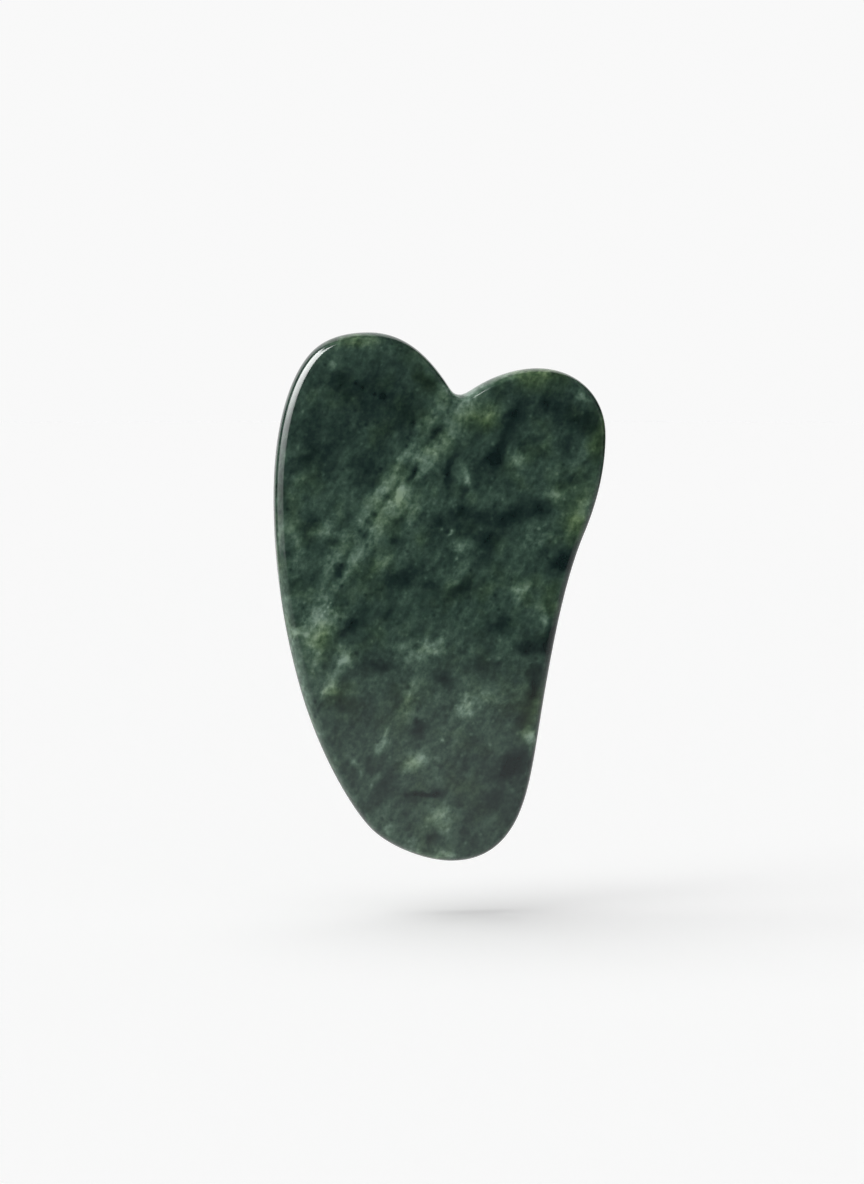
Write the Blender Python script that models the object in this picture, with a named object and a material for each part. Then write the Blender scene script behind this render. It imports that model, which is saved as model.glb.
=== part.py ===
"""Heart-shaped jade gua sha scraper, carved and polished from one flat piece of stone.

The stone stands upright in its frame, in metres: X is its width, Y its thickness and Z its length,
with the two-lobed end up. The origin is the centre of its box. Both faces are flat, and the rim
between them is a full elliptical bullnose all the way round.
"""

import math

import bmesh
import bpy
from mathutils import Matrix

MM = 0.001

# Driving dimensions, in millimetres.
LENGTH = 85.0
WIDTH = 53.6
THICKNESS = 6.0
RIM_REACH = 1.4

# The two ends of each axis, from which the outline is laid out.
TOP = LENGTH / 2
BOTTOM = -LENGTH / 2
RIGHT = WIDTH / 2
LEFT = -WIDTH / 2

# The outline at mid thickness, anticlockwise as seen from the front. Each knot has its x and z, the
# heading of the outline there in degrees from +X, and the lengths of its two curve handles, behind
# and ahead.
OUTLINE_KNOTS = (
    (-11.5, TOP, 180, 6.0, 3.0),            # crown of the tall left lobe
    (-20.2, TOP - 2.7, 222, 3.2, 4.8),      # its shoulder
    (LEFT, 16.0, 270, 12.5, 10.5),          # widest point of the long convex side
    (-22.4, -15.0, 286, 10.5, 10.0),        # the long side, curving in
    (-10.8, -37.5, 317, 4.8, 3.4),          # soft corner above the tip
    (2.0, BOTTOM, 0, 4.8, 4.6),             # tip
    (12.1, -36.4, 61, 4.6, 4.5),            # outer corner of the tip
    (16.1, -20.5, 81, 6.0, 14.0),           # start of the hollow side
    (23.4, 10.4, 67, 8.0, 4.5),             # end of the hollow side
    (RIGHT, 26.0, 90, 6.0, 6.3),            # widest point of the short right lobe
    (15.7, TOP - 5.7, 180, 6.5, 2.6),       # its crown
    (6.6, TOP - 8.2, 209, 3.6, 1.8),        # its slope into the notch
    (3.1, TOP - 9.9, 180, 1.0, 0.8),        # bottom of the notch
    (1.4, TOP - 8.8, 123, 0.9, 5.6),        # steep side of the notch
)
STEPS_PER_SPAN = 14
RIM_RESOLUTION = 4

JADE_GREEN = (0.040, 0.068, 0.050, 1.0)
JADE_ROUGHNESS = 0.16
WELD_DISTANCE = 1e-6


def clear_scene():
    """Remove every object, so that only the scraper is in the scene."""
    for thing in list(bpy.data.objects):
        bpy.data.objects.remove(thing, do_unlink=True)


def new_collection(name):
    """Make a collection and link it to the scene."""
    collection = bpy.data.collections.new(name)
    bpy.context.scene.collection.children.link(collection)
    return collection


def jade_material():
    """Polished green jade: a glossy, non-metallic stone."""
    material = bpy.data.materials.new("polished_jade")
    material.use_nodes = True
    shader = material.node_tree.nodes["Principled BSDF"]
    shader.inputs["Base Color"].default_value = JADE_GREEN
    shader.inputs["Roughness"].default_value = JADE_ROUGHNESS
    shader.inputs["Metallic"].default_value = 0.0
    return material


def along(heading, distance):
    """The step of a given length, in metres, in a heading in degrees."""
    angle = math.radians(heading)
    return (distance * MM * math.cos(angle), distance * MM * math.sin(angle), 0.0)


def outline_curve(collection):
    """The filled outline, drawn flat in the curve's XY plane, with the round rim on its edge.

    The offset draws the fill in by the rim's reach, and the bevel carries the edge back out to the
    outline, so the outline is the true edge at mid thickness.
    """
    curve = bpy.data.curves.new("stone_outline", "CURVE")
    curve.dimensions = "2D"
    curve.fill_mode = "BOTH"
    curve.resolution_u = STEPS_PER_SPAN
    curve.render_resolution_u = 0
    curve.bevel_depth = RIM_REACH * MM
    curve.bevel_resolution = RIM_RESOLUTION
    curve.offset = -RIM_REACH * MM
    spline = curve.splines.new("BEZIER")
    spline.bezier_points.add(len(OUTLINE_KNOTS) - 1)
    spline.use_cyclic_u = True
    for point, (x, z, heading, behind, ahead) in zip(spline.bezier_points, OUTLINE_KNOTS):
        point.handle_left_type = "FREE"
        point.handle_right_type = "FREE"
        point.co = (x * MM, z * MM, 0.0)
        point.handle_left = [a - b for a, b in zip(point.co, along(heading, behind))]
        point.handle_right = [a + b for a, b in zip(point.co, along(heading, ahead))]
    outline = bpy.data.objects.new("stone_outline", curve)
    collection.objects.link(outline)
    return outline


def stone_from_outline(outline, name, collection):
    """Turn the outline into the stone: a closed mesh, standing up, at its full thickness."""
    bpy.context.view_layer.update()
    evaluated = outline.evaluated_get(bpy.context.evaluated_depsgraph_get())
    mesh = bpy.data.meshes.new_from_object(evaluated)
    mesh.name = name

    stretch = Matrix.Diagonal((1.0, 1.0, THICKNESS / 2 / RIM_REACH, 1.0))
    stand_up = Matrix.Rotation(math.radians(90), 4, "X")
    form = bmesh.new()
    form.from_mesh(mesh)
    bmesh.ops.remove_doubles(form, verts=form.verts, dist=WELD_DISTANCE)
    bmesh.ops.transform(form, matrix=stand_up @ stretch, verts=form.verts)
    bmesh.ops.recalc_face_normals(form, faces=form.faces)
    form.to_mesh(mesh)
    form.free()

    mesh.shade_smooth()
    mesh.set_sharp_from_angle(angle=math.radians(40))
    stone = bpy.data.objects.new(name, mesh)
    collection.objects.link(stone)
    bpy.data.objects.remove(outline, do_unlink=True)
    return stone


def main():
    clear_scene()
    scraper = new_collection("gua_sha_scraper")
    stone = stone_from_outline(outline_curve(scraper), "jade_stone", scraper)
    stone.data.materials.clear()
    stone.data.materials.append(jade_material())


main()
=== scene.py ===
"""The looks of the jade gua sha scraper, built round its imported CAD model.

The stone stands upright in the frame, in metres: X is its width, Y its thickness with the front
face at -Y, and Z its length. Everything here is worked out from the CAD stone's own outline and
box. The jade's pattern is laid out in millimetres from the stone's centre.
"""

import math

import bmesh
import bpy
import numpy as np
from mathutils import Euler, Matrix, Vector
from mathutils.geometry import delaunay_2d_cdt


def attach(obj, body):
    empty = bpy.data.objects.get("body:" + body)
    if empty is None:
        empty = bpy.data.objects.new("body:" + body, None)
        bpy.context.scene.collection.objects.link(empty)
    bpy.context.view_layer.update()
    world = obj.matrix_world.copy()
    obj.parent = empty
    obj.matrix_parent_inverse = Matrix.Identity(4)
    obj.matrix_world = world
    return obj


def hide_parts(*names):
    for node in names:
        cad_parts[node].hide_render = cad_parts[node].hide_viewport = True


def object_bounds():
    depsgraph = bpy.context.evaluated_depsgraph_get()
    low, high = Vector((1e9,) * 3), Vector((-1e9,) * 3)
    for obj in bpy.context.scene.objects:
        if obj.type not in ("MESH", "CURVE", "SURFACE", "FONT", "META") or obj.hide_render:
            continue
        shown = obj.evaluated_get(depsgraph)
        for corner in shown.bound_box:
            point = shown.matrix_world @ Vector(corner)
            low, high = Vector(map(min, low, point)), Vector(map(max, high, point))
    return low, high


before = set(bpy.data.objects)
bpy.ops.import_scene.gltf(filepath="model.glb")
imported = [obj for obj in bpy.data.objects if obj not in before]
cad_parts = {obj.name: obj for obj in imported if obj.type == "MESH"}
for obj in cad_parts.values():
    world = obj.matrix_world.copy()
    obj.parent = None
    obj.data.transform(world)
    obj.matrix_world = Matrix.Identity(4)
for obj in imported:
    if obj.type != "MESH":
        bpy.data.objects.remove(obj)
CAD_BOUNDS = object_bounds()

MM = 0.001
LOW, HIGH = (Vector(corner) for corner in CAD_BOUNDS)
CENTRE = (LOW + HIGH) / 2
HALF_THICKNESS = (HIGH.y - LOW.y) / 2

# The camera: a long lens, a little to the left of the stone and a little above its middle.
VIEW_AZIMUTH = math.radians(-8)
VIEW_ELEVATION = math.radians(4)
VIEW_DISTANCE = 528 * MM
LENS = 100
AIM_LEFT = 1.34 * MM
AIM_UP = 0.95 * MM
CLIP_START = 0.01
CLIP_END = 500

# The stone's mesh.
MIDDLE_TOLERANCE = 0.01 * MM
WELD_DIGITS = 7
OUTLINE_POINTS = 900
RIM_REACH = 1.4 * MM
RIM_SEGMENTS = 24
EDGE_LOOP_INSET = 0.2 * MM
FACE_SPACING = 0.8 * MM
GRID_CLEARANCE = 0.5 * FACE_SPACING
KEEP_ONLY_INSIDE = 1
TRIANGULATION_TOLERANCE = 1e-9

# The hollows that hand grinding leaves in both faces, in from the rim.
HOLLOW_DEPTH = 0.03 * MM
HOLLOW_EASE = 4 * MM
WAVE_ACROSS = 6.1 * MM
WAVE_ALONG = 8.3 * MM
RIPPLE_LENGTH = 3.7 * MM
RIPPLE_SHARE = 0.4

# The floor lies a little under the stone's tip, as in a product shot on clear supports, and it
# reaches out past the backdrop.
FLOOR_DROP = 8.5 * MM
FLOOR_HALF_SIZE = 4.6
FLOOR_WHITE = 0.9
LIGHT_TABLE = 0.217
BACKDROP_RADIUS = 4.4
BACKDROP_STEPS = 48
BACKDROP_GLOW = 0.945

# The pool of pale floor that the polished stone mirrors, and where it fades, from the stone.
FLOOR_GLOW = 0.5
FLOOR_GLOW_FADE = (0.15, 0.60)
FLOOR_GLOW_STEPS = 64
FLOOR_GLOW_LIFT = 1 * MM

# The cards that it mirrors: (name, azimuths, elevations, glow at heights over the card's radius).
CARD_RADIUS = 0.45
CARD_STEPS = 24
CARD_SIDE_FADE = math.radians(12)
CARD_TOP_FADE = 0.10
SOFTBOX_GLOW = ((-0.3, 0.4), (0.0, 1.1), (0.12, 2.2), (0.25, 4.2), (0.4, 9.0), (0.6, 12.5))
CARDS = (
    ("left_softbox", (-21, -128), (-25, 62), SOFTBOX_GLOW),
    ("right_card", (54, 101), (-10, 60), ((-1, 0.2), (1, 0.2))),
    ("rear_card", (140, 220), (-40, 70), ((-1, 0.8), (1, 0.8))),
)

# The lights. Suns: (name, energy, width in the sky, tilt back, tilt right). Panels, which light
# only the stone: (name, azimuth, elevation).
WORLD_LIGHT = 0.2
SUNS = (("overhead_sun", 1.305, 60, -8, 14), ("left_sun", 0.89, 50, 4, 42))
PANELS = (("front_fill", -25, 15), ("back_fill", 160, 25))
PANEL_SIZE = 0.8
PANEL_DISTANCE = 0.8
PANEL_POWER = 3.2


# ---------------------------------------------------------------- shader nodes


class Nodes:
    """Builds a shader tree by plain calls. Each call returns the new node's output socket."""

    def __init__(self, tree):
        self.tree = tree

    def add(self, kind, inputs, output=0, **settings):
        """A node of that kind with its settings, its inputs linked or set, by name or number."""
        node = self.tree.nodes.new("ShaderNode" + kind)
        for name, value in settings.items():
            setattr(node, name, value)
        for key, value in inputs.items():
            if isinstance(value, bpy.types.NodeSocket):
                self.tree.links.new(value, node.inputs[key])
            else:
                node.inputs[key].default_value = value
        return node.outputs[output]

    def math(self, operation, *values):
        """A Math node."""
        return self.add("Math", dict(enumerate(values)), operation=operation)

    def vector(self, operation, *values, output=0):
        """A Vector Math node."""
        return self.add("VectorMath", dict(enumerate(values)), output, operation=operation)

    def noise(self, position, size, detail=2.0, roughness=0.5, output="Fac"):
        """Noise whose largest features are about size across, from 0 to 1."""
        inputs = {"Vector": position, "Scale": 1 / size, "Detail": detail, "Roughness": roughness}
        return self.add("TexNoise", inputs, output)

    def placed(self, position, location, tilt, size):
        """The position as seen from a place, turned by a tilt in the face's plane, over a size."""
        rotation = (0, -math.radians(tilt), 0)
        inputs = {"Vector": position, "Location": location, "Rotation": rotation, "Scale": size}
        return self.add("Mapping", inputs, vector_type="TEXTURE")

    def ramp(self, factor, stops):
        """A colour ramp of (position, (red, green, blue)) stops."""
        output = self.add("ValToRGB", {"Fac": factor}, "Color")
        elements = output.node.color_ramp.elements
        while len(elements) < len(stops):
            elements.new(0.5)
        for element, (position, colour) in zip(elements, stops):
            element.position = position
            element.color = (*colour, 1)
        return output

    def mix(self, factor, first, second, blend="MIX"):
        """A colour mix. The colour sockets of a Mix node are numbers 6 and 7, and its result is 2."""
        return self.add(
            "Mix", {0: factor, 6: first, 7: second}, 2, data_type="RGBA", blend_type=blend
        )

    def spread(self, value, low, high, new_low=0.0, new_high=1.0):
        """Map a range to another, clamped, with a smooth start and end."""
        inputs = {0: value, 1: low, 2: high, 3: new_low, 4: new_high}
        return self.add("MapRange", inputs, interpolation_type="SMOOTHSTEP")


# ---------------------------------------------------------------- camera and stage


def direction(azimuth, elevation):
    """The unit vector from the stone to a point at that azimuth and elevation, 0 being in front."""
    flat = math.cos(elevation)
    return Vector((math.sin(azimuth) * flat, -math.cos(azimuth) * flat, math.sin(elevation)))


def aim(thing, target):
    """Turn a camera or a light to look at the target."""
    thing.rotation_euler = (target - thing.location).to_track_quat("-Z", "Y").to_euler()


def add_camera():
    """The camera at the photograph's viewing angle."""
    data = bpy.data.cameras.new("camera")
    data.lens = LENS
    data.clip_start = CLIP_START
    data.clip_end = CLIP_END
    camera = bpy.data.objects.new("camera", data)
    bpy.context.scene.collection.objects.link(camera)
    outward = direction(VIEW_AZIMUTH, VIEW_ELEVATION)
    right = Vector((math.cos(VIEW_AZIMUTH), math.sin(VIEW_AZIMUTH), 0))
    up = outward.cross(right)
    target = CENTRE - AIM_LEFT * right + AIM_UP * up
    camera.location = target + outward * VIEW_DISTANCE
    aim(camera, target)
    bpy.context.scene.camera = camera


def link_nodes(material, nodes, shader):
    """Make a shader node the material's surface."""
    output = nodes.tree.nodes.new("ShaderNodeOutputMaterial")
    material.node_tree.links.new(shader, output.inputs["Surface"])


def empty_material(name):
    """A material with no nodes yet, and the builder of its nodes."""
    material = bpy.data.materials.new(name)
    material.use_nodes = True
    material.node_tree.nodes.clear()
    return material, Nodes(material.node_tree)


def glow_material(name, strength):
    """A material that only gives off an even white light."""
    material, nodes = empty_material(name)
    link_nodes(material, nodes, nodes.add("Emission", {"Strength": strength}))
    return material


def card_material(name, half_width, top, glow_steps):
    """A white glow by height, which fades at the card's two sides and its top."""
    material, nodes = empty_material(name)
    corner = nodes.add("TexCoord", {}, "Object")
    place = nodes.add("SeparateXYZ", {"Vector": corner}).node
    height = nodes.math("DIVIDE", place.outputs["Z"], CARD_RADIUS)
    low, high = glow_steps[0][0], glow_steps[-1][0]
    peak = glow_steps[-1][1]
    stops = [((step - low) / (high - low), (glow / peak,) * 3) for step, glow in glow_steps]
    by_height = nodes.ramp(nodes.add("MapRange", {0: height, 1: low, 2: high}), stops)
    strength = nodes.math("MULTIPLY", by_height, peak)
    below_top = nodes.spread(height, math.sin(top) - CARD_TOP_FADE, math.sin(top), 1.0, 0.0)
    strength = nodes.math("MULTIPLY", strength, below_top)
    ahead = nodes.math("MULTIPLY", place.outputs["Y"], -1.0)
    turned = nodes.math("ABSOLUTE", nodes.math("ARCTAN2", place.outputs["X"], ahead))
    within = nodes.spread(turned, half_width - CARD_SIDE_FADE, half_width, 1.0, 0.0)
    strength = nodes.math("MULTIPLY", strength, within)
    link_nodes(material, nodes, nodes.add("Emission", {"Strength": strength}))
    return material


def floor_glow_material():
    """What a polished face mirrors of the floor: a pale pool round the stone, fading outwards."""
    material, nodes = empty_material("floor_glow")
    place = nodes.add("TexCoord", {}, "Object")
    distance = nodes.vector("LENGTH", place, output="Value")
    pool = nodes.spread(distance, *FLOOR_GLOW_FADE, FLOOR_GLOW, 0.0)
    link_nodes(material, nodes, nodes.add("Emission", {"Strength": pool}))
    return material


def floor_material():
    """The plain pale floor: a matt white sheet over an even light table."""
    material, nodes = empty_material("floor_white")
    white = nodes.add("BsdfDiffuse", {"Color": (FLOOR_WHITE, FLOOR_WHITE, FLOOR_WHITE, 1)})
    glow = nodes.add("Emission", {"Strength": LIGHT_TABLE})
    link_nodes(material, nodes, nodes.add("AddShader", {0: white, 1: glow}))
    return material


def show_only_to(thing, camera=False, glossy=False):
    """Let only the camera or only the polished surface see a thing."""
    thing.visible_camera = camera
    thing.visible_glossy = glossy
    thing.visible_diffuse = False
    thing.visible_transmission = False
    thing.visible_volume_scatter = False
    thing.visible_shadow = False


def add_mesh(name, form, material):
    """Make an object of a bmesh, with one material."""
    mesh = bpy.data.meshes.new(name)
    form.to_mesh(mesh)
    form.free()
    mesh.materials.append(material)
    thing = bpy.data.objects.new(name, mesh)
    bpy.context.scene.collection.objects.link(thing)
    return thing


def add_card(name, azimuths, elevations, glow_steps):
    """A glowing card bent round the stone, which only the polished surface sees."""
    middle = math.radians(sum(azimuths) / 2)
    half_width = math.radians(abs(azimuths[1] - azimuths[0]) / 2)
    foot, top = (math.radians(elevation) for elevation in elevations)
    form = bmesh.new()
    columns = [
        [
            form.verts.new(direction(azimuth, elevation) * CARD_RADIUS)
            for elevation in np.linspace(foot, top, CARD_STEPS)
        ]
        for azimuth in np.linspace(-half_width, half_width, CARD_STEPS)
    ]
    for left, right in zip(columns, columns[1:]):
        for i in range(CARD_STEPS - 1):
            form.faces.new((left[i], right[i], right[i + 1], left[i + 1]))
    card = add_mesh(name, form, card_material(name + "_white", half_width, top, glow_steps))
    card.location = CENTRE
    card.rotation_euler.z = middle
    show_only_to(card, glossy=True)


def add_stage():
    """A pale floor, its pool for reflections, and a round backdrop of the floor's brightness."""
    form = bmesh.new()
    bmesh.ops.create_grid(form, x_segments=1, y_segments=1, size=FLOOR_HALF_SIZE)
    floor = add_mesh("floor", form, floor_material())
    floor.location = (0, 0, LOW.z - FLOOR_DROP)
    floor.visible_glossy = False

    form = bmesh.new()
    reach = FLOOR_GLOW_FADE[1]
    bmesh.ops.create_circle(form, cap_ends=True, segments=FLOOR_GLOW_STEPS, radius=reach)
    pool = add_mesh("floor_glow", form, floor_glow_material())
    pool.location = (0, 0, LOW.z - FLOOR_DROP + FLOOR_GLOW_LIFT)
    show_only_to(pool, glossy=True)

    form = bmesh.new()
    rows = BACKDROP_STEPS // 2
    bmesh.ops.create_uvsphere(
        form, u_segments=BACKDROP_STEPS, v_segments=rows, radius=BACKDROP_RADIUS
    )
    bmesh.ops.reverse_faces(form, faces=form.faces)
    backdrop = add_mesh("backdrop", form, glow_material("backdrop_white", BACKDROP_GLOW))
    show_only_to(backdrop, camera=True)


def add_sun(name, energy, angle, tilt_back, tilt_right):
    """A soft overhead sun. Its light leans back and to the right by those angles."""
    data = bpy.data.lights.new(name, "SUN")
    data.energy = energy
    data.angle = math.radians(angle)
    sun = bpy.data.objects.new(name, data)
    bpy.context.scene.collection.objects.link(sun)
    sun.rotation_euler = Euler((math.radians(tilt_back), math.radians(-tilt_right), 0))
    sun.visible_glossy = False


def add_panel_light(name, azimuth, elevation, receivers):
    """A soft square light that looks at the stone and lights only its receivers."""
    data = bpy.data.lights.new(name, "AREA")
    data.shape = "SQUARE"
    data.size = PANEL_SIZE
    data.energy = PANEL_POWER
    light = bpy.data.objects.new(name, data)
    bpy.context.scene.collection.objects.link(light)
    outward = direction(math.radians(azimuth), math.radians(elevation))
    light.location = CENTRE + outward * PANEL_DISTANCE
    aim(light, CENTRE)
    light.visible_camera = False
    light.visible_glossy = False
    light.light_linking.receiver_collection = receivers


def add_lights(stone):
    """Plain soft studio light.

    Two wide suns and an even world light the floor and give its shadow. Soft panels light only the
    stone. The polished stone mirrors none of these: it sees only the cards and the pool of pale
    floor, in an otherwise dark studio.
    """
    world = bpy.data.worlds.new("studio")
    world.use_nodes = True
    world.node_tree.nodes["Background"].inputs["Color"].default_value = (1, 1, 1, 1)
    world.node_tree.nodes["Background"].inputs["Strength"].default_value = WORLD_LIGHT
    world.cycles_visibility.glossy = False
    bpy.context.scene.world = world

    for sun in SUNS:
        add_sun(*sun)

    only_stone = bpy.data.collections.new("lit_by_panels")
    bpy.context.scene.collection.children.link(only_stone)
    only_stone.objects.link(stone)
    for panel in PANELS:
        add_panel_light(*panel, only_stone)

    for card in CARDS:
        add_card(*card)


# ---------------------------------------------------------------- the stone's mesh


def cad_outline(node):
    """The edge of the CAD stone at mid thickness, in order round its centre, as rows of x and z."""
    points = np.array([vertex.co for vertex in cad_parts[node].data.vertices])
    at_middle = np.abs(points[:, 1] - CENTRE.y) < MIDDLE_TOLERANCE
    ring = np.unique(np.round(points[at_middle][:, [0, 2]], WELD_DIGITS), axis=0)
    centre = ring.mean(axis=0)
    angles = np.arctan2(ring[:, 1] - centre[1], ring[:, 0] - centre[0])
    return ring[np.argsort(angles)]


def smooth_loop(points, count):
    """Evenly spaced points on the closed cubic spline through the given ones.

    The tangents are those that leave no jump in the curve's bend at any given point.
    """
    gaps = np.linalg.norm(np.roll(points, -1, axis=0) - points, axis=1)[:, None]
    slopes = (np.roll(points, -1, axis=0) - points) / gaps
    gaps_before = np.roll(gaps, 1, axis=0)
    slopes_before = np.roll(slopes, 1, axis=0)
    own = np.eye(len(points))
    next_one = np.roll(own, 1, axis=1)
    bend = 2 * (gaps + gaps_before) * own + gaps_before * next_one + gaps * next_one.T
    tangents = np.linalg.solve(bend, 3 * (gaps_before * slopes + gaps * slopes_before))
    starts = np.concatenate(([0.0], np.cumsum(gaps[:, 0])))
    wanted = np.linspace(0, starts[-1], count, endpoint=False)
    span = np.searchsorted(starts, wanted, side="right") - 1
    after = (span + 1) % len(points)
    length = gaps[span]
    t = (wanted - starts[span])[:, None] / length
    return (
        (2 * t**3 - 3 * t**2 + 1) * points[span]
        + (t**3 - 2 * t**2 + t) * length * tangents[span]
        + (3 * t**2 - 2 * t**3) * points[after]
        + (t**3 - t**2) * length * tangents[after]
    )


def outward_normals(loop):
    """The outward unit normal at each point of an anticlockwise loop."""
    along = np.roll(loop, -1, axis=0) - np.roll(loop, 1, axis=0)
    along /= np.linalg.norm(along, axis=1)[:, None]
    return np.column_stack((along[:, 1], -along[:, 0]))


def inside(points, loop):
    """Which points lie inside a closed loop, by the even-odd rule."""
    found = np.zeros(len(points), bool)
    for (x0, z0), (x1, z1) in zip(loop, np.roll(loop, -1, axis=0)):
        crosses = (z0 > points[:, 1]) != (z1 > points[:, 1])
        rise = z1 - z0
        if rise:
            found ^= crosses & (points[:, 0] < x0 + (points[:, 1] - z0) * (x1 - x0) / rise)
    return found


def face_grid(loop):
    """A hexagonal grid of points inside a loop, kept clear of it, and how far in each one lies."""
    low = loop.min(axis=0)
    high = loop.max(axis=0)
    row_height = FACE_SPACING * math.sqrt(3) / 2
    rows = int((high[1] - low[1]) / row_height)
    columns = int((high[0] - low[0]) / FACE_SPACING)
    grid = np.array(
        [
            (low[0] + (column + row % 2 / 2) * FACE_SPACING, low[1] + row * row_height)
            for row in range(rows)
            for column in range(columns)
        ]
    )
    grid = grid[inside(grid, loop)]
    nearest = np.array([np.min(np.sum((loop - point) ** 2, axis=1)) for point in grid])
    clear = nearest > GRID_CLEARANCE**2
    return grid[clear], np.sqrt(nearest[clear])


def hollow(x, z, side):
    """How far the hand-ground face dips at a point, in metres: long shallow waves, never proud.

    The side, -1 in front and 1 behind, shifts the waves, so that the faces differ.
    """
    wave = math.sin(x / WAVE_ACROSS + side) * math.sin(z / WAVE_ALONG - 0.7 * side)
    ripple = RIPPLE_SHARE * math.sin((x + 0.8 * z) / RIPPLE_LENGTH + 2 * side)
    return HOLLOW_DEPTH * (1 + (wave + ripple) / (1 + RIPPLE_SHARE)) / 2


def rim_sections():
    """The rim's cross-section, front to back, starting and ending on the flat.

    Each step has its reach outwards, its y, and how far it belongs to the rim, from 0 to 1.
    """
    sections = [(-EDGE_LOOP_INSET, -HALF_THICKNESS, 0)]
    for step in range(RIM_SEGMENTS + 1):
        angle = math.pi * (step / RIM_SEGMENTS - 0.5)
        share = math.cos(angle)
        sections.append((RIM_REACH * share, HALF_THICKNESS * math.sin(angle), share))
    sections.append((-EDGE_LOOP_INSET, HALF_THICKNESS, 0))
    return sections


def add_rim(form, face_edge, outward):
    """Make the rim's faces, with its share as a vertex layer, and return its two end rings."""
    rim = form.verts.layers.float.new("rim")
    rings = []
    for reach, y, share in rim_sections():
        loop = face_edge + outward * reach
        ring = [form.verts.new((x, CENTRE.y + y, z)) for x, z in loop]
        for vertex in ring:
            vertex[rim] = share
        rings.append(ring)
    for ring, next_ring in zip(rings, rings[1:]):
        for i in range(OUTLINE_POINTS):
            j = (i + 1) % OUTLINE_POINTS
            form.faces.new((ring[i], ring[j], next_ring[j], next_ring[i]))
    return rings[0], rings[-1]


def stone_form():
    """The polished stone as one closed bmesh."""
    outline = smooth_loop(cad_outline("jade_stone"), OUTLINE_POINTS)
    outward = outward_normals(outline)
    face_edge = outline - outward * RIM_REACH
    form = bmesh.new()
    front_ring, back_ring = add_rim(form, face_edge, outward)

    flat_edge = face_edge - outward * EDGE_LOOP_INSET
    grid, depth_in = face_grid(flat_edge)
    ease = np.clip(depth_in / HOLLOW_EASE, 0, 1)
    ease = ease * ease * (3 - 2 * ease)
    coords = [Vector(point) for point in np.vstack((flat_edge, grid))]
    ring_face = [list(range(OUTLINE_POINTS))]
    _, _, triangles, sources, _, _ = delaunay_2d_cdt(
        coords, [], ring_face, KEEP_ONLY_INSIDE, TRIANGULATION_TOLERANCE
    )
    for side, ring in ((-1, front_ring), (1, back_ring)):
        inner = [
            form.verts.new((x, CENTRE.y + side * (HALF_THICKNESS - e * hollow(x, z, side)), z))
            for (x, z), e in zip(grid, ease)
        ]
        corners = ring + inner
        for triangle in triangles:
            picked = [corners[sources[i][0]] for i in triangle]
            form.faces.new(picked if side < 0 else picked[::-1])
    bmesh.ops.recalc_face_normals(form, faces=form.faces)
    for face in form.faces:
        face.smooth = True
    return form


# ---------------------------------------------------------------- the jade


# The jade's colours, from its darkest teal to its palest sage, as linear colours a tone step apart.
# Tone 0 is the second and tone 1 the last but one.
JADE_TONES = (
    (0.0064, 0.0150, 0.0140),
    (0.0092, 0.0205, 0.0185),
    (0.0140, 0.0290, 0.0252),
    (0.0218, 0.0430, 0.0342),
    (0.0327, 0.0625, 0.0475),
    (0.0490, 0.0890, 0.0655),
    (0.0755, 0.1280, 0.0940),
    (0.1115, 0.1790, 0.1330),
    (0.1620, 0.2430, 0.1890),
    (0.2260, 0.3200, 0.2580),
)
TONE_STEP = 1 / 7
BASE_TONE = 0.42
CLOUD_EDGE = 0.06
ENDLESS = 1e6

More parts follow.
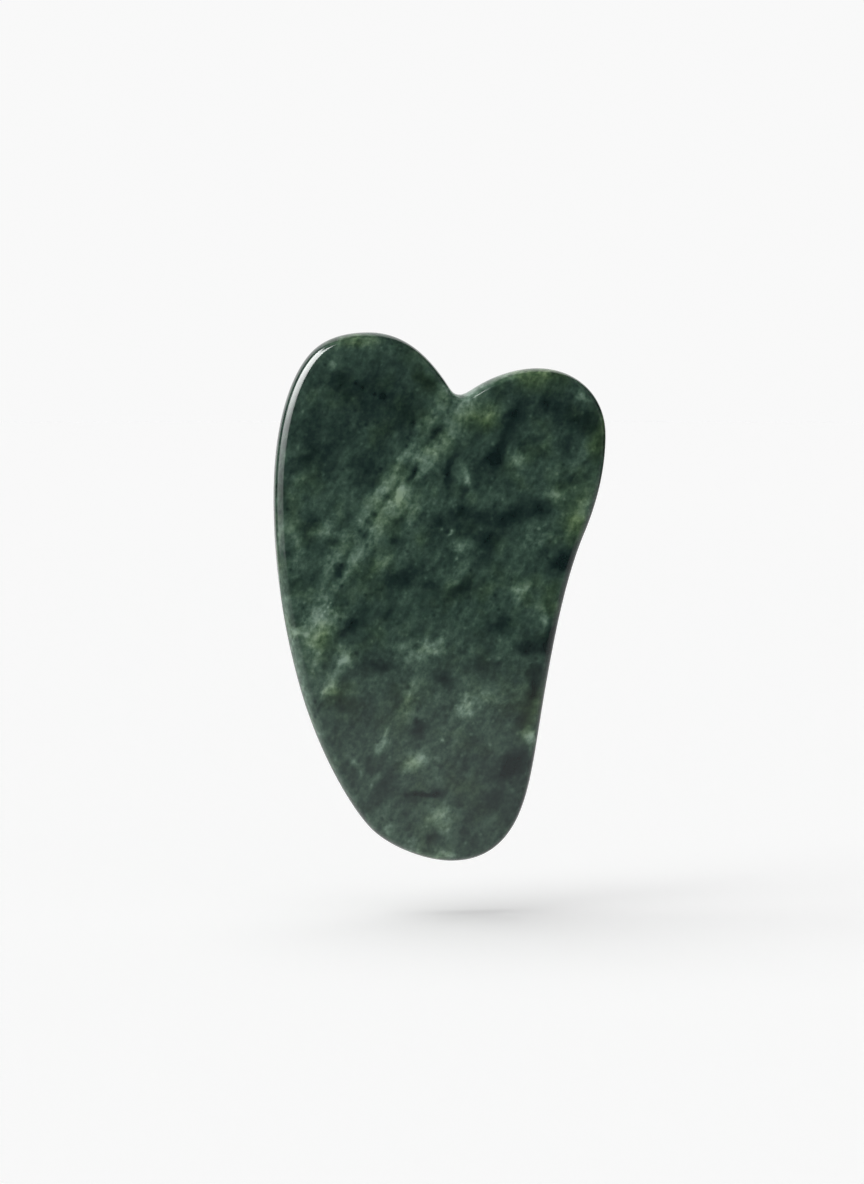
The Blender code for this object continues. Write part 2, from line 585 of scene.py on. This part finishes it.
# Clouds in the stone: (x, z, half length, half width, tilt in degrees, change of tone). A cloud
# fades to CLOUD_EDGE of its strength at its half length and half width.
CLOUDS = (
    # tall lobe: dark teal, a little paler to the left and below
    (-11.1, 32.4, 7.0, 5.0, 60, -0.37),
    (-6.0, 29.6, 6.0, 3.2, 57, -0.44),
    (-18.5, 25.0, 7.0, 4.0, 70, -0.29),
    (-12.2, 20.5, 5.0, 4.0, 50, -0.27),
    (-11.7, 27.3, 2.8, 2.2, 0, 0.22),
    (-17.4, 17.0, 5.5, 3.2, 70, 0.16),
    (-18.5, 11.8, 3.2, 1.8, 70, 0.41),
    (-13.5, 41.0, 9.0, 2.6, 0, 0.28),
    (-16.4, 34.4, 4.6, 3.4, 70, -0.44),
    (-21.6, 25.0, 6.0, 1.8, 80, -0.38),
    (-9.4, 24.4, 3.0, 2.2, 50, -0.22),
    (-2.6, 35.6, 4.0, 1.5, -52, -0.38),
    # short lobe: dark round its shoulder, pale mottles below
    (10.0, 26.0, 8.0, 2.2, 66, -0.51),
    (17.0, 31.2, 5.5, 3.4, -15, -0.41),
    (21.6, 28.0, 3.6, 3.0, 0, -0.50),
    (12.0, 21.9, 2.6, 1.6, 30, 0.44),
    (16.2, 23.4, 3.2, 2.0, 20, 0.06),
    (20.0, 24.6, 3.4, 2.2, 10, -0.20),
    (11.6, 29.0, 3.0, 2.6, 0, -0.22),
    (5.6, 20.8, 2.2, 2.8, 0, -0.30),
    (22.0, 21.0, 2.6, 2.0, 0, 0.22),
    (26.0, 29.0, 4.0, 1.6, 86, 0.26),
    (18.2, 17.0, 1.9, 1.4, 0, 0.57),
    (22.4, 13.8, 4.6, 2.0, 62, 0.36),
    (4.2, 18.4, 4.6, 1.0, -71, 0.44),
    (7.2, 29.4, 3.0, 2.6, 0, 0.28),
    (15.9, 36.0, 8.0, 1.8, 0, 0.48),
    (22.4, 32.4, 2.0, 1.4, -30, 0.38),
    (17.6, 34.0, 4.0, 1.6, -10, 0.12),
    (14.4, 11.4, 3.6, 2.2, 10, 0.28),
    (25.6, 22.0, 5.0, 1.4, 86, -0.12),
    # dark band across the middle, and the fibrous pale patch under it
    (3.4, 13.8, 4.0, 2.6, 0, -0.37),
    (9.6, 12.8, 6.5, 3.0, 8, -0.49),
    (15.2, 14.8, 3.8, 1.8, 10, -0.51),
    (1.2, 20.4, 4.8, 1.2, 78, -0.44),
    (7.4, 9.4, 3.6, 1.8, 0, -0.44),
    (8.0, 21.6, 2.6, 2.6, 60, -0.46),
    (4.2, 17.4, 3.4, 2.4, 0, -0.24),
    (-0.4, 12.2, 1.8, 1.6, 0, -0.32),
    (1.8, 8.3, 3.8, 1.1, 4, 0.34),
    (1.1, 10.6, 1.0, 0.5, 20, 0.48),
    (2.4, 10.6, 2.8, 1.6, 0, -0.26),
    (-5.0, 13.8, 3.2, 2.8, 40, 0.40),
    (-1.8, 1.6, 2.0, 1.8, 0, -0.36),
    (-9.6, -2.0, 3.0, 2.0, 0, -0.20),
    (6.4, 7.6, 3.0, 3.0, 0, -0.22),
    (-17.4, 9.6, 2.0, 1.8, 0, -0.30),
    (-21.2, 13.4, 2.0, 3.0, 0, -0.24),
    (12.0, 12.4, 2.4, 1.8, 0, 0.18),
    (13.6, -1.6, 2.4, 1.6, 0, 0.30),
    (-9.4, 6.0, 2.8, 2.0, 30, 0.32),
    (2.2, 2.6, 2.4, 1.8, 60, 0.46),
    (16.0, 9.6, 5.5, 1.3, 22, 0.26),
    (19.4, 5.4, 4.0, 2.4, 30, -0.54),
    (-6.4, 3.0, 5.6, 2.4, 24, -0.44),
    (3.0, 1.8, 5.0, 2.6, 0, -0.35),
    (12.7, 1.0, 3.4, 2.6, 20, 0.48),
    (16.1, -3.0, 3.0, 1.0, 80, 0.44),
    (-24.0, 9.0, 9.0, 2.0, 88, 0.20),
    (-18.2, -4.6, 5.4, 3.8, 30, 0.40),
    (-17.4, -1.4, 2.4, 2.0, 0, 0.32),
    # lower body
    (9.0, -4.2, 3.4, 2.0, 20, -0.41),
    (17.4, -6.8, 3.0, 1.8, 70, -0.98),
    (13.4, -7.6, 4.0, 1.4, 10, -0.49),
    (-15.0, -4.5, 4.6, 2.0, 35, -0.48),
    (-20.8, -7.8, 3.4, 2.2, -75, 0.48),
    (-3.2, -8.2, 6.4, 3.4, 8, 0.50),
    (-0.7, -8.6, 1.6, 1.8, 0, 0.26),
    (-10.4, -10.6, 2.8, 1.8, 10, -0.32),
    (-16.0, -9.8, 4.0, 2.4, 50, 0.36),
    (-18.6, -14.4, 4.0, 2.4, 62, 0.50),
    (-15.7, -17.0, 2.8, 2.2, 0, -0.35),
    (-8.2, -15.2, 1.8, 1.6, 0, -0.28),
    (3.2, -17.2, 4.6, 3.4, 58, 0.60),
    (8.6, -16.0, 3.6, 3.0, 0, 0.28),
    (-4.2, -20.4, 2.2, 1.8, 0, -0.44),
    (14.6, -15.0, 6.0, 1.5, 82, -0.61),
    (14.6, -23.4, 2.4, 1.3, 80, 0.70),
    (10.8, -27.2, 4.2, 2.8, 60, -0.85),
    (-9.0, -22.2, 4.2, 2.0, 55, 0.56),
    (-3.4, -25.8, 4.6, 2.8, 20, 0.40),
    (-12.0, -26.4, 3.0, 1.8, 50, -0.32),
    (-3.0, -31.0, 4.8, 0.8, 3, -0.57),
    (-0.2, -35.0, 5.0, 3.6, 60, 0.48),
    (-1.7, -38.4, 2.0, 1.3, 0, -0.32),
    (0.8, -40.8, 3.0, 1.2, 0, 0.51),
    (-5.0, -39.0, 4.0, 2.0, -30, 0.24),
    (-2.0, -13.0, 4.0, 2.0, 40, 0.17),
    (-9.5, -30.0, 4.0, 2.4, 60, -0.17),
    (-14.6, -26.0, 4.0, 1.4, -58, 0.37),
    (8.6, -33.6, 5.0, 4.6, 0, -0.26),
    (0.0, -13.4, 3.4, 1.8, 0, -0.46),
    (13.4, -20.4, 2.0, 1.8, 0, -0.36),
    (5.4, -10.6, 5.0, 2.4, 0, -0.18),
    (-5.4, -17.6, 2.0, 1.8, 0, 0.24),
    (2.2, -32.6, 2.0, 1.6, 0, -0.26),
    (-1.8, -29.0, 2.0, 1.6, 0, 0.22),
    (17.6, -6.0, 2.0, 2.4, 0, -0.40),
    (-5.6, -15.2, 1.8, 3.2, 0, 0.34),
    (-5.4, -25.0, 2.4, 2.0, 0, 0.28),
    (-9.0, -36.4, 3.0, 2.0, -40, 0.30),
)

# The long pale vein of two straight streaks, from the notch down to the long side, with dark flaws
# between them. Same columns as the clouds, but hardly drawn about.
VEINS = (
    (-11.6, 14.8, 25.0, 1.9, 56, 0.26),
    (-8.6, 14.0, 29.0, 2.0, 54, 0.29),
    (-1.4, 29.6, 4.6, 1.4, 60, 0.23),
    (-10.6, 16.4, 5.6, 1.9, 56, 0.18),
    (-17.6, 7.6, 6.0, 2.0, 54, 0.18),
    (3.2, 31.6, 5.0, 3.6, 50, 0.56),
    (1.6, 33.4, 2.4, 2.0, 0, 0.34),
    (-6.9, 16.4, 3.0, 1.5, 62, 0.39),
    (-11.6, 9.2, 4.0, 1.8, 50, 0.21),
    (-15.4, 4.2, 5.0, 1.8, 50, 0.23),
    (-3.4, 22.8, 5.4, 3.4, 50, 0.32),
    (0.8, 25.4, 3.0, 2.4, 50, 0.22),
    (-21.4, -3.0, 6.0, 3.2, 54, 0.36),
    (-1.0, 26.6, 1.8, 0.9, 40, -0.65),
    (-5.0, 20.0, 2.6, 0.8, 60, -0.70),
    (-12.4, 9.9, 1.6, 1.1, 50, -0.47),
    (-7.9, 9.4, 1.6, 1.1, 0, -0.39),
    (-16.9, 4.1, 2.2, 1.3, 55, -0.65),
)

# Specks and flecks of the same kind: (x, z, radius, change of tone).
SPECKS = (
    (-14.0, 34.5, 0.68, -0.5),
    (-12.9, 33.7, 0.60, -0.4),
    (-9.6, 32.3, 0.90, -0.6),
    (-11.0, 32.7, 0.52, -0.4),
    (-4.8, 28.2, 0.75, -0.4),
    (-17.5, 37.5, 1.05, 0.30),
    (-23.2, 24.3, 0.90, 0.26),
    (8.0, 24.8, 0.60, 0.34),
    (18.3, 9.0, 0.60, 0.36),
    (-0.2, 11.2, 0.52, 0.50),
    (1.4, 11.0, 0.45, 0.45),
    (2.2, 6.4, 0.52, 0.40),
    (-15.6, -9.4, 1.20, 0.40),
    (-14.6, -10.6, 0.60, 0.30),
    (-23.7, -4.8, 1.35, 0.40),
    (-21.9, -5.4, 0.75, 0.34),
    (-0.1, -22.6, 0.60, 0.40),
    (11.3, -30.9, 0.60, 0.30),
    (-13.4, 11.0, 0.68, -0.4),
    (-10.9, 13.6, 0.60, -0.4),
    (-12.2, 8.8, 0.60, -0.3),
    (-17.4, 5.6, 0.52, -0.3),
    (-8.6, 15.8, 0.45, 0.35),
    (-6.9, 17.4, 0.83, 0.40),
    (-7.3, 16.4, 0.75, 0.36),
    (-5.6, -14.0, 0.68, -0.35),
    (-4.4, -19.6, 0.90, -0.4),
    (-1.0, -31.0, 0.90, -0.4),
    (-5.8, -31.6, 0.75, -0.35),
)

# The dashes of one pale hairline near the long side, evenly spaced from its upper end.
HAIRLINE = ((-18.0, -0.4), (-20.4, -3.8))
HAIRLINE_DASHES = 6
DASH_HALF_LENGTH = 0.42
DASH_HALF_WIDTH = 0.26
DASH_CHANGE = 0.42

# Where the stone turns from teal to olive: (x, z, half length, half width, tilt, strength).
OLIVE_CLOUDS = (
    (15.9, 35.6, 9.0, 3.0, 0, 1.0),
    (25.6, 26.0, 9.0, 3.0, 80, 1.0),
    (21.6, 13.0, 7.0, 4.0, 65, 1.0),
    (7.0, 28.6, 4.0, 3.6, 0, 0.8),
    (15.6, 22.6, 5.0, 3.6, 0, 0.6),
    (18.4, -1.0, 9.0, 2.4, 76, 0.7),
    (14.6, -19.0, 7.0, 2.4, 82, 1.0),
    (-2.6, 35.6, 5.0, 2.0, -52, 0.8),
    (-13.5, 41.0, 7.0, 2.0, 0, 0.6),
    (-20.4, -6.6, 5.0, 4.0, 0, 0.9),
    (-17.5, -14.5, 4.0, 3.0, 0, 0.6),
    (-12.0, 4.0, 8.0, 3.0, 48, 0.4),
)
OLIVE_TINT = (1.07, 1.05, 0.72)
OLIVE_LIMITS = (-0.2, 1.0)
OLIVE_DRIFT_SIZE = 5.0
OLIVE_DRIFT = 2.2

# Painted light on the rim alone, as changes of its tone. Along the long side, in the notch and at the
# tip it is painted paler, a painted glow of light through the thin edge and a painted highlight.
# Along the hollow side it is painted darker, a painted shade.
RIM_PAINTED_LIGHT = (
    (-22.0, -9.0, 44.0, 9.0, -74, 0.52),
    (20.0, -2.0, 26.0, 8.0, 74, -0.34),
    (8.6, 34.0, 6.0, 3.0, 25, 0.70),
    (-3.0, -41.5, 9.0, 3.0, 0, 0.36),
    (14.0, -32.0, 12.0, 6.0, 60, -0.16),
)

# How noise draws the pattern about: the size of the noise, its detail and how far it reaches.
BROAD_WANDER = (6.0, 1, 3.4)
CLOSE_WANDER = (1.8, 2, 1.6)

# The grain. Mottles and fibres run along a slant, each with its tilt and its stretch. Each grain
# has its size, detail, roughness and change of tone, and is coarser from one tone to another.
MOTTLE_SLANT = (50, 1.8)
FIBRE_SLANT = (60, 5.0)
MOTTLES = (2.8, 2, 0.55, 0.95)
FIBRES = (0.9, 2, 0.55, 0.50)
GRANULES = (1.0, 2, 0.60, 0.70)
GRAIN_TONES = (0.25, 0.85)
GRAIN_STRENGTHS = (0.8, 1.35)

# Pale flecks and dark pits, scattered: (spacing, radius, share of the places, change of tone).
SCATTERED = ((1.5, 0.45, 0.45, 0.22), (2.1, 0.50, 0.40, -0.28))

# The polish, which varies slightly, and the little light that goes through the stone.
POLISH_SIZE = 3.0
POLISH_NOISE = (0.3, 0.7)
POLISH_ROUGHNESS = (0.05, 0.10)
STONE_IOR = 1.61
SCATTER_WEIGHT = 0.25
SCATTER_RADIUS = (0.6, 1.0, 0.7)
SCATTER_SCALE = 0.7 * MM


def jade_clouds(nodes, position, clouds, value):
    """Add clouds to a value: each is a soft ellipse in the face's plane, as deep as the stone.

    The place in the face's plane and the sum so far go from cloud to cloud as one vector, whose y
    holds the sum, because Cycles runs out of room for many vectors that wait side by side.
    """
    place = nodes.add("SeparateXYZ", {"Vector": position}).node
    state = nodes.add("CombineXYZ", {"X": place.outputs["X"], "Y": value, "Z": place.outputs["Z"]})
    for x, z, length, width, tilt, change in clouds:
        local = nodes.placed(state, (x, 0, z), tilt, (length, ENDLESS, width))
        distance_squared = nodes.vector("DOT_PRODUCT", local, local, output="Value")
        falloff = nodes.math("POWER", CLOUD_EDGE, distance_squared)
        state = nodes.vector("MULTIPLY_ADD", falloff, (0, change, 0), state)
    return nodes.add("SeparateXYZ", {"Vector": state}, "Y")


def hairline_dashes():
    """The hairline as a row of small clouds along it."""
    (x0, z0), (x1, z1) = HAIRLINE
    tilt = math.degrees(math.atan2(z1 - z0, x1 - x0))
    form = (DASH_HALF_LENGTH, DASH_HALF_WIDTH, tilt, DASH_CHANGE)
    return [
        (x0 + (x1 - x0) * share, z0 + (z1 - z0) * share, *form)
        for share in np.linspace(0, 1, HAIRLINE_DASHES)
    ]


def wander(nodes, position, size, detail):
    """A vector of noise about zero."""
    noise = nodes.noise(position, size, detail, 0.5, "Color")
    return nodes.vector("SUBTRACT", noise, (0.5, 0.5, 0.5))


def jade_grain(nodes, position, steady, wandering, tone):
    """Add the grain to the tone: mottles and fibres along a slant, and round granules."""
    coarser = nodes.spread(tone, *GRAIN_TONES, *GRAIN_STRENGTHS)
    mottle_tilt, mottle_stretch = MOTTLE_SLANT
    fibre_tilt, fibre_stretch = FIBRE_SLANT
    mottled = nodes.placed(wandering, (0, 0, 0), mottle_tilt, (mottle_stretch, 1, 1))
    fibrous = nodes.placed(steady, (0, 0, 0), fibre_tilt, (fibre_stretch, 1, 1))
    for source, grain in ((mottled, MOTTLES), (fibrous, FIBRES), (position, GRANULES)):
        size, detail, roughness, amount = grain
        noise = nodes.math("SUBTRACT", nodes.noise(source, size, detail, roughness), 0.5)
        strength = nodes.math("MULTIPLY", coarser, amount)
        tone = nodes.math("MULTIPLY_ADD", noise, strength, tone)
    return tone


def scattered_grains(nodes, position, tone):
    """Add the pale flecks and dark pits to the tone."""
    for spacing, radius, share, change in SCATTERED:
        cell = nodes.add("TexVoronoi", {"Vector": position, "Scale": 1 / spacing}, "Distance").node
        near = nodes.spread(cell.outputs["Distance"], 0.0, radius / spacing, 1.0, 0.0)
        pick = nodes.add("SeparateColor", {"Color": cell.outputs["Color"]}, "Red")
        grain = nodes.math("MULTIPLY", near, nodes.math("LESS_THAN", pick, share))
        tone = nodes.math("MULTIPLY_ADD", grain, change, tone)
    return tone


def jade_colour(nodes, position, wandering, tone):
    """The colour of a tone, turned to olive in places."""
    steps = len(JADE_TONES) - 1
    along = nodes.math("DIVIDE", nodes.math("ADD", tone, TONE_STEP), steps * TONE_STEP)
    colour = nodes.ramp(along, [(i / steps, c) for i, c in enumerate(JADE_TONES)])
    drift = nodes.math("SUBTRACT", nodes.noise(position, OLIVE_DRIFT_SIZE, 3), 0.5)
    drift = nodes.math("MULTIPLY", drift, OLIVE_DRIFT)
    olive = jade_clouds(nodes, wandering, OLIVE_CLOUDS, drift)
    least, most = OLIVE_LIMITS
    olive = nodes.math("MINIMUM", nodes.math("MAXIMUM", olive, least), most)
    tinted = nodes.mix(1.0, colour, (*OLIVE_TINT, 1), "MULTIPLY")
    return nodes.mix(olive, colour, tinted)


def jade_material():
    """Polished nephrite: dark teal and sage clouds along a slanting grain, under a high gloss."""
    material = bpy.data.materials.new("polished_jade")
    material.use_nodes = True
    tree = material.node_tree
    shader = tree.nodes["Principled BSDF"]
    nodes = Nodes(tree)

    metres = nodes.add("TexCoord", {}, "Object")
    position = nodes.vector("MULTIPLY", metres, (1 / MM, 1 / MM, 1 / MM))

    # The clouds' edges are drawn about by two sizes of noise, and the vein's by the finer one.
    broad_size, broad_detail, broad_reach = BROAD_WANDER
    close_size, close_detail, close_reach = CLOSE_WANDER
    broad = wander(nodes, position, broad_size, broad_detail)
    close = wander(nodes, position, close_size, close_detail)
    steady = nodes.vector("MULTIPLY_ADD", close, (close_reach,) * 3, position)
    wandering = nodes.vector("MULTIPLY_ADD", broad, (broad_reach,) * 3, steady)

    tone = jade_clouds(nodes, wandering, CLOUDS, BASE_TONE)
    tone = jade_clouds(nodes, steady, VEINS, tone)
    specks = [(x, z, radius, radius, 0, change) for x, z, radius, change in SPECKS]
    tone = jade_clouds(nodes, position, specks + hairline_dashes(), tone)
    tone = jade_grain(nodes, position, steady, wandering, tone)
    tone = scattered_grains(nodes, position, tone)

    # The rim's painted light: its tone is painted paler where light would shine through the thin edge
    # and a highlight falls, and painted darker where shade falls.
    rim = nodes.add("Attribute", {}, "Fac", attribute_name="rim")
    painted_rim_light = jade_clouds(nodes, position, RIM_PAINTED_LIGHT, 0.0)
    tone = nodes.math("MULTIPLY_ADD", rim, painted_rim_light, tone)

    colour = jade_colour(nodes, position, wandering, tone)
    gloss = nodes.noise(position, POLISH_SIZE, 3)
    roughness = nodes.spread(gloss, *POLISH_NOISE, *POLISH_ROUGHNESS)
    tree.links.new(colour, shader.inputs["Base Color"])
    tree.links.new(roughness, shader.inputs["Roughness"])
    shader.inputs["IOR"].default_value = STONE_IOR
    shader.inputs["Subsurface Weight"].default_value = SCATTER_WEIGHT
    shader.inputs["Subsurface Radius"].default_value = SCATTER_RADIUS
    shader.inputs["Subsurface Scale"].default_value = SCATTER_SCALE
    return material


# ---------------------------------------------------------------- put together

add_camera()
add_stage()
stone = add_mesh("polished_stone", stone_form(), jade_material())
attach(stone, "root")
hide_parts("jade_stone")
add_lights(stone)
bpy.context.scene.view_settings.view_transform = "Standard"
